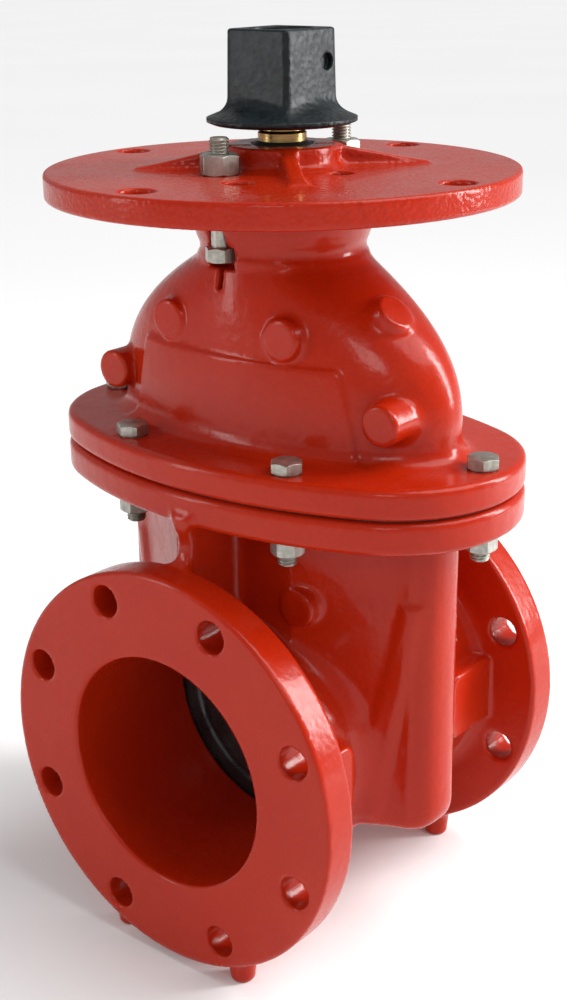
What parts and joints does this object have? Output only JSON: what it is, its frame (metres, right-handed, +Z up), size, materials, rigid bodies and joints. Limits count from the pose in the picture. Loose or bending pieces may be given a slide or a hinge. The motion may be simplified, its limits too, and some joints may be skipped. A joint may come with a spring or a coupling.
{
  "type": "gate valve",
  "caption": "Flanged pipe gate valve: a wedge slides in a narrow case under a domed bonnet, driven by a non-rising stem with a square wrench nut above a round post plate.",
  "frame": {"origin": "on the floor under the stem's axis, level with the undersides of the four cast feet", "axes": "+X along the pipe, Y across it, +Z up along the stem"},
  "size_m": [0.3048, 0.349, 0.6115],
  "materials": {
    "case_paint": "glossy orange-red epoxy over a cast surface",
    "bonnet_paint": "glossy orange-red epoxy over a cast surface",
    "plate_paint": "glossy orange-red epoxy with a pebbled top face",
    "gasket_rubber": "matte",
    "zinc_bolts": "dull zinc plate",
    "zinc_nuts": "dull zinc plate",
    "zinc_studs": "dull zinc plate",
    "zinc_heavy_nuts": "dull zinc plate",
    "seal_rubber": "matte",
    "washer_bronze": "satin",
    "stem_bronze": "machined, satin",
    "black_casting": "black paint over a rough casting, semi-gloss",
    "wedge_iron": "rough casting",
    "wedge_rubber": "moulded, satin",
    "guide_plastic": "matte"
  },
  "bodies": {
    "valve_body": {"body": "case_paint", "bonnet": "bonnet_paint", "bonnet_gasket": "gasket_rubber", "bonnet_bolts": "zinc_bolts", "bonnet_nuts": "zinc_nuts", "post_plate": "plate_paint", "stuffing_box_bolts": "zinc_studs", "stuffing_box_nuts": "zinc_heavy_nuts", "stuffing_box_seal": "seal_rubber", "stem_o_rings": "seal_rubber", "dirt_seal": "seal_rubber", "thrust_washer_lower": "washer_bronze", "thrust_washer_upper": "washer_bronze"},
    "stem": {"stem": "stem_bronze", "wrench_nut": "black_casting", "hold_down_screw": "zinc_bolts", "hold_down_washer": "zinc_nuts"},
    "wedge": {"wedge_core": "wedge_iron", "wedge_rubber": "wedge_rubber", "stem_nut": "washer_bronze", "guide_cap_left": "guide_plastic", "guide_cap_right": "guide_plastic"}
  },
  "joints": [
    {"name": "wedge_lift", "type": "slide", "parent": "valve_body", "child": "wedge", "axis": [0, 0, 1], "range_m": [0, 0.16934]},
    {"name": "stem_turn", "type": "hinge", "parent": "valve_body", "child": "stem", "pos_m": [0, 0, 0.5], "axis": [0, 0, 1], "range_deg": [0, 7200.5]}
  ],
  "couplings": [
    {"joint": "stem_turn", "follows": "wedge_lift", "rad_per_m": 742.08}
  ]
}
